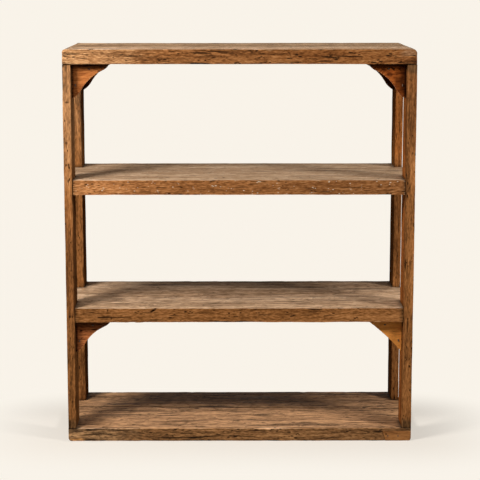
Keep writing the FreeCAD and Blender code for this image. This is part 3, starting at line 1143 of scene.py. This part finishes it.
def post(node, seed):
    """A plank on end, its arrises worn and its faces furrowed along the grain."""
    low, high = post_boxes[node]
    piece = block("worn_" + node, low, high)
    open_for_editing(piece)
    for axis in (X, Y, Z):
        slice_at(axis, near_edge_places(low[axis], high[axis]))
    divide_long_edges(piece, post_steps)
    close_editing()
    places = coordinates(piece)
    keep_mask(piece, "arris", arris_nearness(places, low, high, post_arris_reach))
    inner_x = high.x if "left" in node else low.x
    inner_y = high.y if "front" in node else low.y
    on_inner_face = nearness(np.abs(places[:, X] - inner_x), inner_face_reach)
    met_by_shelf = np.maximum(on_inner_face, nearness(np.abs(places[:, Y] - inner_y), inner_edge_reach))
    # Painted shade: each post's inner face is darker by its share in inner_face_shade
    darkening = on_inner_face * inner_face_shade[node]
    for z in deck_tops + deck_undersides:
        at_deck = nearness(np.abs(places[:, Z] - z), deck_dirt_reach)
        darkening = np.maximum(darkening, joint_dirt * met_by_shelf * at_deck)
    for z in (post_foot, post_head):
        darkening = np.maximum(darkening, joint_dirt * nearness(np.abs(places[:, Z] - z), end_dirt_reach))
    keep_mask(piece, "grime_and_shade", darkening)
    for i, name in enumerate(("left front", "right front", "left rear", "right rear")):
        wear_arris(piece, low, high, name, post_arris, seed + i * post_seed_step, chips=0.6)
    weather(piece, Z, length=500, width=70, depth=0.4, seed=seed)
    weather(piece, Z, length=80, width=7, depth=0.8, seed=seed + 4)
    finish_piece(piece, node, post_wood)


for i, name in enumerate(post_names):
    post(name, post_seed + i)


# Brackets, with painted shadow beside their posts and under their decks
bracket_arris_reach = 5 * MM
bracket_grid = 1.7 * MM
post_shadow_strength = 1.8
deck_shadow_strength = 2.0
top_seed = 20.0
lower_seed = 30.0


def sweep(start, end, sag):
    """Spins the chosen point along an arc to end, which bulges by sag to the left of the way."""
    chord = end - start
    side = Vector((-chord.z, 0, chord.x)).normalized()
    radius = (chord.length**2 / 4 + sag**2) / (2 * abs(sag))
    bulge = 1 if sag > 0 else -1
    centre = (start + end) / 2 - side * bulge * (radius - abs(sag))
    angle = -bulge * 2 * asin(chord.length / 2 / radius)
    bpy.ops.mesh.spin(steps=10, angle=angle, center=centre, axis=(0, 1, 0))


def bracket_blank(name, size, plain=False):
    """A left-hand bracket with its corner at the origin, drawn point by point, filled and thickened."""
    reach, thickness, drop = size
    bpy.ops.object.select_all(action="DESELECT")
    bpy.ops.mesh.primitive_plane_add(size=10 * MM, location=(reach, 0, 0))
    piece = bpy.context.object
    piece.name = name
    piece.data.name = name
    bpy.ops.object.transform_apply(location=True, rotation=True, scale=True)
    open_for_editing(piece, "VERT")
    bpy.ops.mesh.select_all(action="SELECT")
    bpy.ops.mesh.merge(type="CENTER")
    tip = Vector((reach, 0, 0))
    tail = Vector((0, 0, -drop))
    if plain:
        sweep(tip, tail, -gusset_sag)
    else:
        tip_foot = Vector((reach * tip_share, 0, -drop * tip_width_share))
        tail_top = Vector((reach * tail_width_share, 0, -drop * tail_share))
        sweep(tip, tip_foot, tip_sag)
        sweep(tip_foot, tail_top, -cove_sag)
        sweep(tail_top, tail, tip_sag)
    bpy.ops.mesh.extrude_region_move(TRANSFORM_OT_translate={"value": (0, 0, drop)})
    bpy.ops.mesh.select_all(action="SELECT")
    bpy.ops.mesh.edge_face_add()
    bpy.ops.mesh.extrude_region_move(TRANSFORM_OT_translate={"value": (0, thickness, 0)})
    bpy.ops.mesh.select_all(action="SELECT")
    bpy.ops.mesh.remove_doubles(threshold=0.01 * MM)
    bpy.ops.mesh.normals_make_consistent(inside=False)
    bpy.ops.mesh.bevel(offset=0.9 * MM, segments=2, affect="EDGES")
    close_editing()
    return piece


def bracket(node, blank, seed, material, post_shadow_width, under, shade=0.9):
    """A copy of a blank, turned to its side, set under its deck and worn, with painted shadow beside its
    post and under its deck.
    """
    low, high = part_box(node)
    piece = blank.copy()
    piece.data = blank.data.copy()
    piece.name = "worn_" + node
    piece.data.name = piece.name
    bpy.context.collection.objects.link(piece)
    corner = low.x if "left" in node else high.x
    flip = 1 if "left" in node else -1
    piece.data.transform(Matrix.Translation((corner, low.y, high.z)) @ Matrix.Diagonal((flip, 1, 1, 1)))
    open_for_editing(piece)
    bpy.ops.mesh.select_all(action="SELECT")
    bpy.ops.mesh.normals_make_consistent(inside=False)
    close_editing()
    outline = coordinates(piece)
    fine = piece.modifiers.new("fine", "REMESH")
    fine.mode = "VOXEL"
    fine.voxel_size = bracket_grid
    bpy.ops.object.modifier_apply(modifier=fine.name)
    places = coordinates(piece)
    from_faces = np.minimum(places[:, Y] - low.y, high.y - places[:, Y])
    from_edge = np.full(len(places), 1.0)
    for point in outline:
        from_edge = np.minimum(from_edge, np.hypot(places[:, X] - point[X], places[:, Z] - point[Z]))
    keep_mask(piece, "arris", nearness(np.maximum(from_faces, from_edge), bracket_arris_reach))
    # Painted shadow: darker beside the post, and darker under the deck to a reach of under mm at a strength
    # set by shade
    painted_post_shadow = post_shadow_strength * nearness(np.abs(places[:, X] - corner), post_shadow_width * MM)
    painted_deck_shadow = deck_shadow_strength * shade * nearness(high.z - places[:, Z], under * MM)
    keep_mask(piece, "grime_and_shade", np.minimum(np.maximum(painted_post_shadow, painted_deck_shadow), 1.0))
    weather(piece, X, length=40, width=5, depth=0.7, seed=seed)
    finish_piece(piece, node, material)


def size_of(node):
    low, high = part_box(node)
    return high - low


top_blank = bracket_blank("top_blank", size_of("top_front_left_bracket"))
lower_blank = bracket_blank("lower_blank", size_of("lower_front_left_bracket"))
gusset_blank = bracket_blank("gusset_blank", size_of("lower_front_right_gusset"), plain=True)
corners = [(row, side) for row in ("front", "rear") for side in ("left", "right")]
for i, (row, side) in enumerate(corners):
    node = f"top_{row}_{side}_bracket"
    bracket(node, top_blank, top_seed + i, bracket_wood, post_shadow_width=8, under=12)
    if (row, side) == ("front", "right"):
        node = "lower_front_right_gusset"
        bracket(node, gusset_blank, lower_seed + i, gusset_wood, post_shadow_width=2, under=16, shade=0.25)
    else:
        node = f"lower_{row}_{side}_bracket"
        bracket(node, lower_blank, lower_seed + i, bracket_wood, post_shadow_width=8, under=24)
for blank in (top_blank, lower_blank, gusset_blank):
    bpy.data.objects.remove(blank)

# Fasteners keep their solids and take their finish
fastener_finishes = {"nails": nail_iron, "brads": nail_iron, "dowels": dowel_wood}
for name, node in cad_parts.items():
    kind = name.split("_")[-1]
    if kind in fastener_finishes:
        node.data.materials.clear()
        node.data.materials.append(fastener_finishes[kind])
